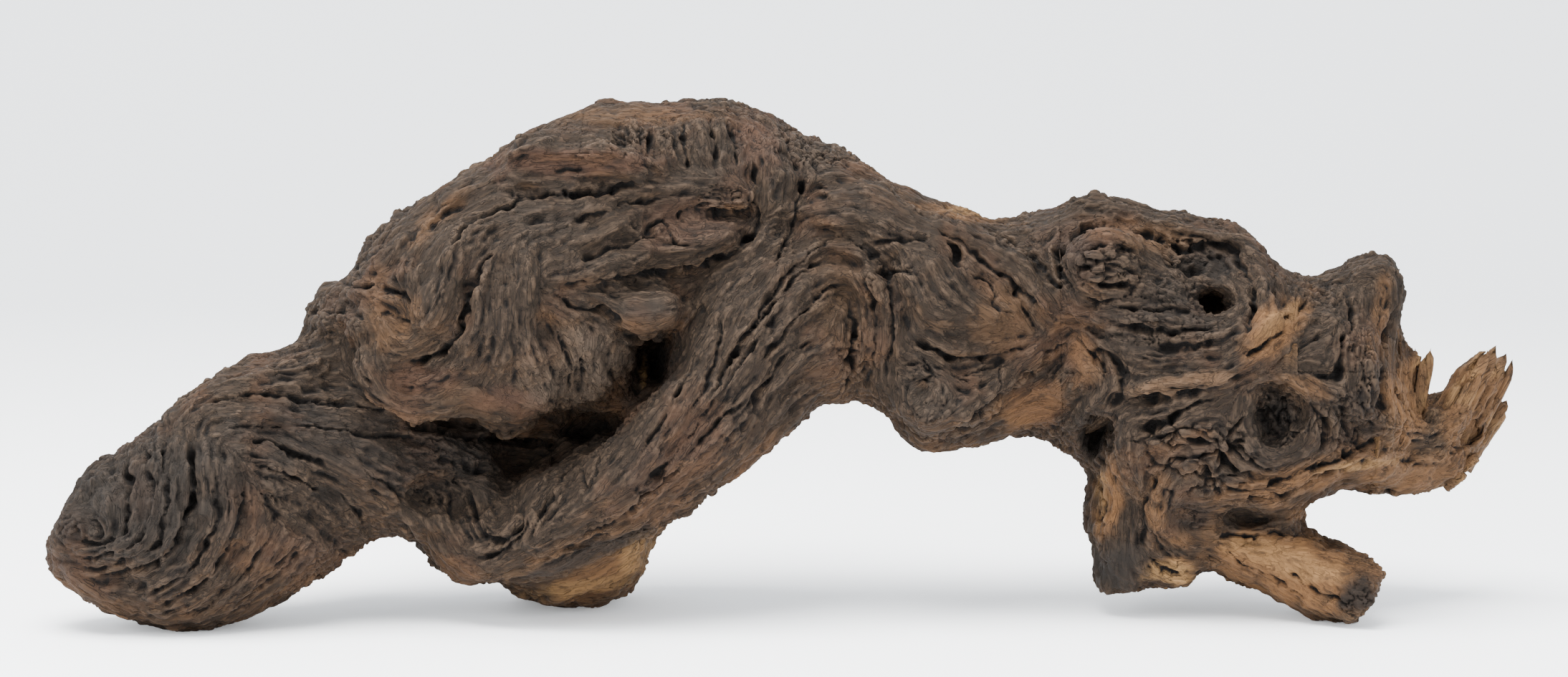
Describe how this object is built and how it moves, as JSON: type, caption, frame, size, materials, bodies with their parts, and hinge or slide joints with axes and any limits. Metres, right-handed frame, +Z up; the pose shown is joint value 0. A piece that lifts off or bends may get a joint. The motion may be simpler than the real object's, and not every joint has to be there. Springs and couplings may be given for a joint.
{
  "type": "mopani root",
  "caption": "Gnarled piece of driftwood root that stands on its own feet: a folded, arched trunk with a long limb, a knotted head and a splintered arm.",
  "frame": {"origin": "middle of the root's box, on the surface that it stands on", "axes": "+X from the long low limb towards the splintered arm, +Z up, and the side that the picture shows faces -Y"},
  "size_m": [0.5974, 0.1544, 0.2107],
  "materials": {
    "dark_wood": "dry, matt, weathered grey-brown outside with near black cracks",
    "bare_wood": "dry, matt, pale ochre wood with no bark"
  },
  "bodies": {
    "root": {"trunk": "dark_wood", "left_limb": "dark_wood", "rear_foot": "bare_wood", "right_head": "dark_wood", "front_toe": "dark_wood", "stub_leg": "bare_wood", "splinter_arm": "bare_wood", "horn": "dark_wood"}
  },
  "joints": []
}
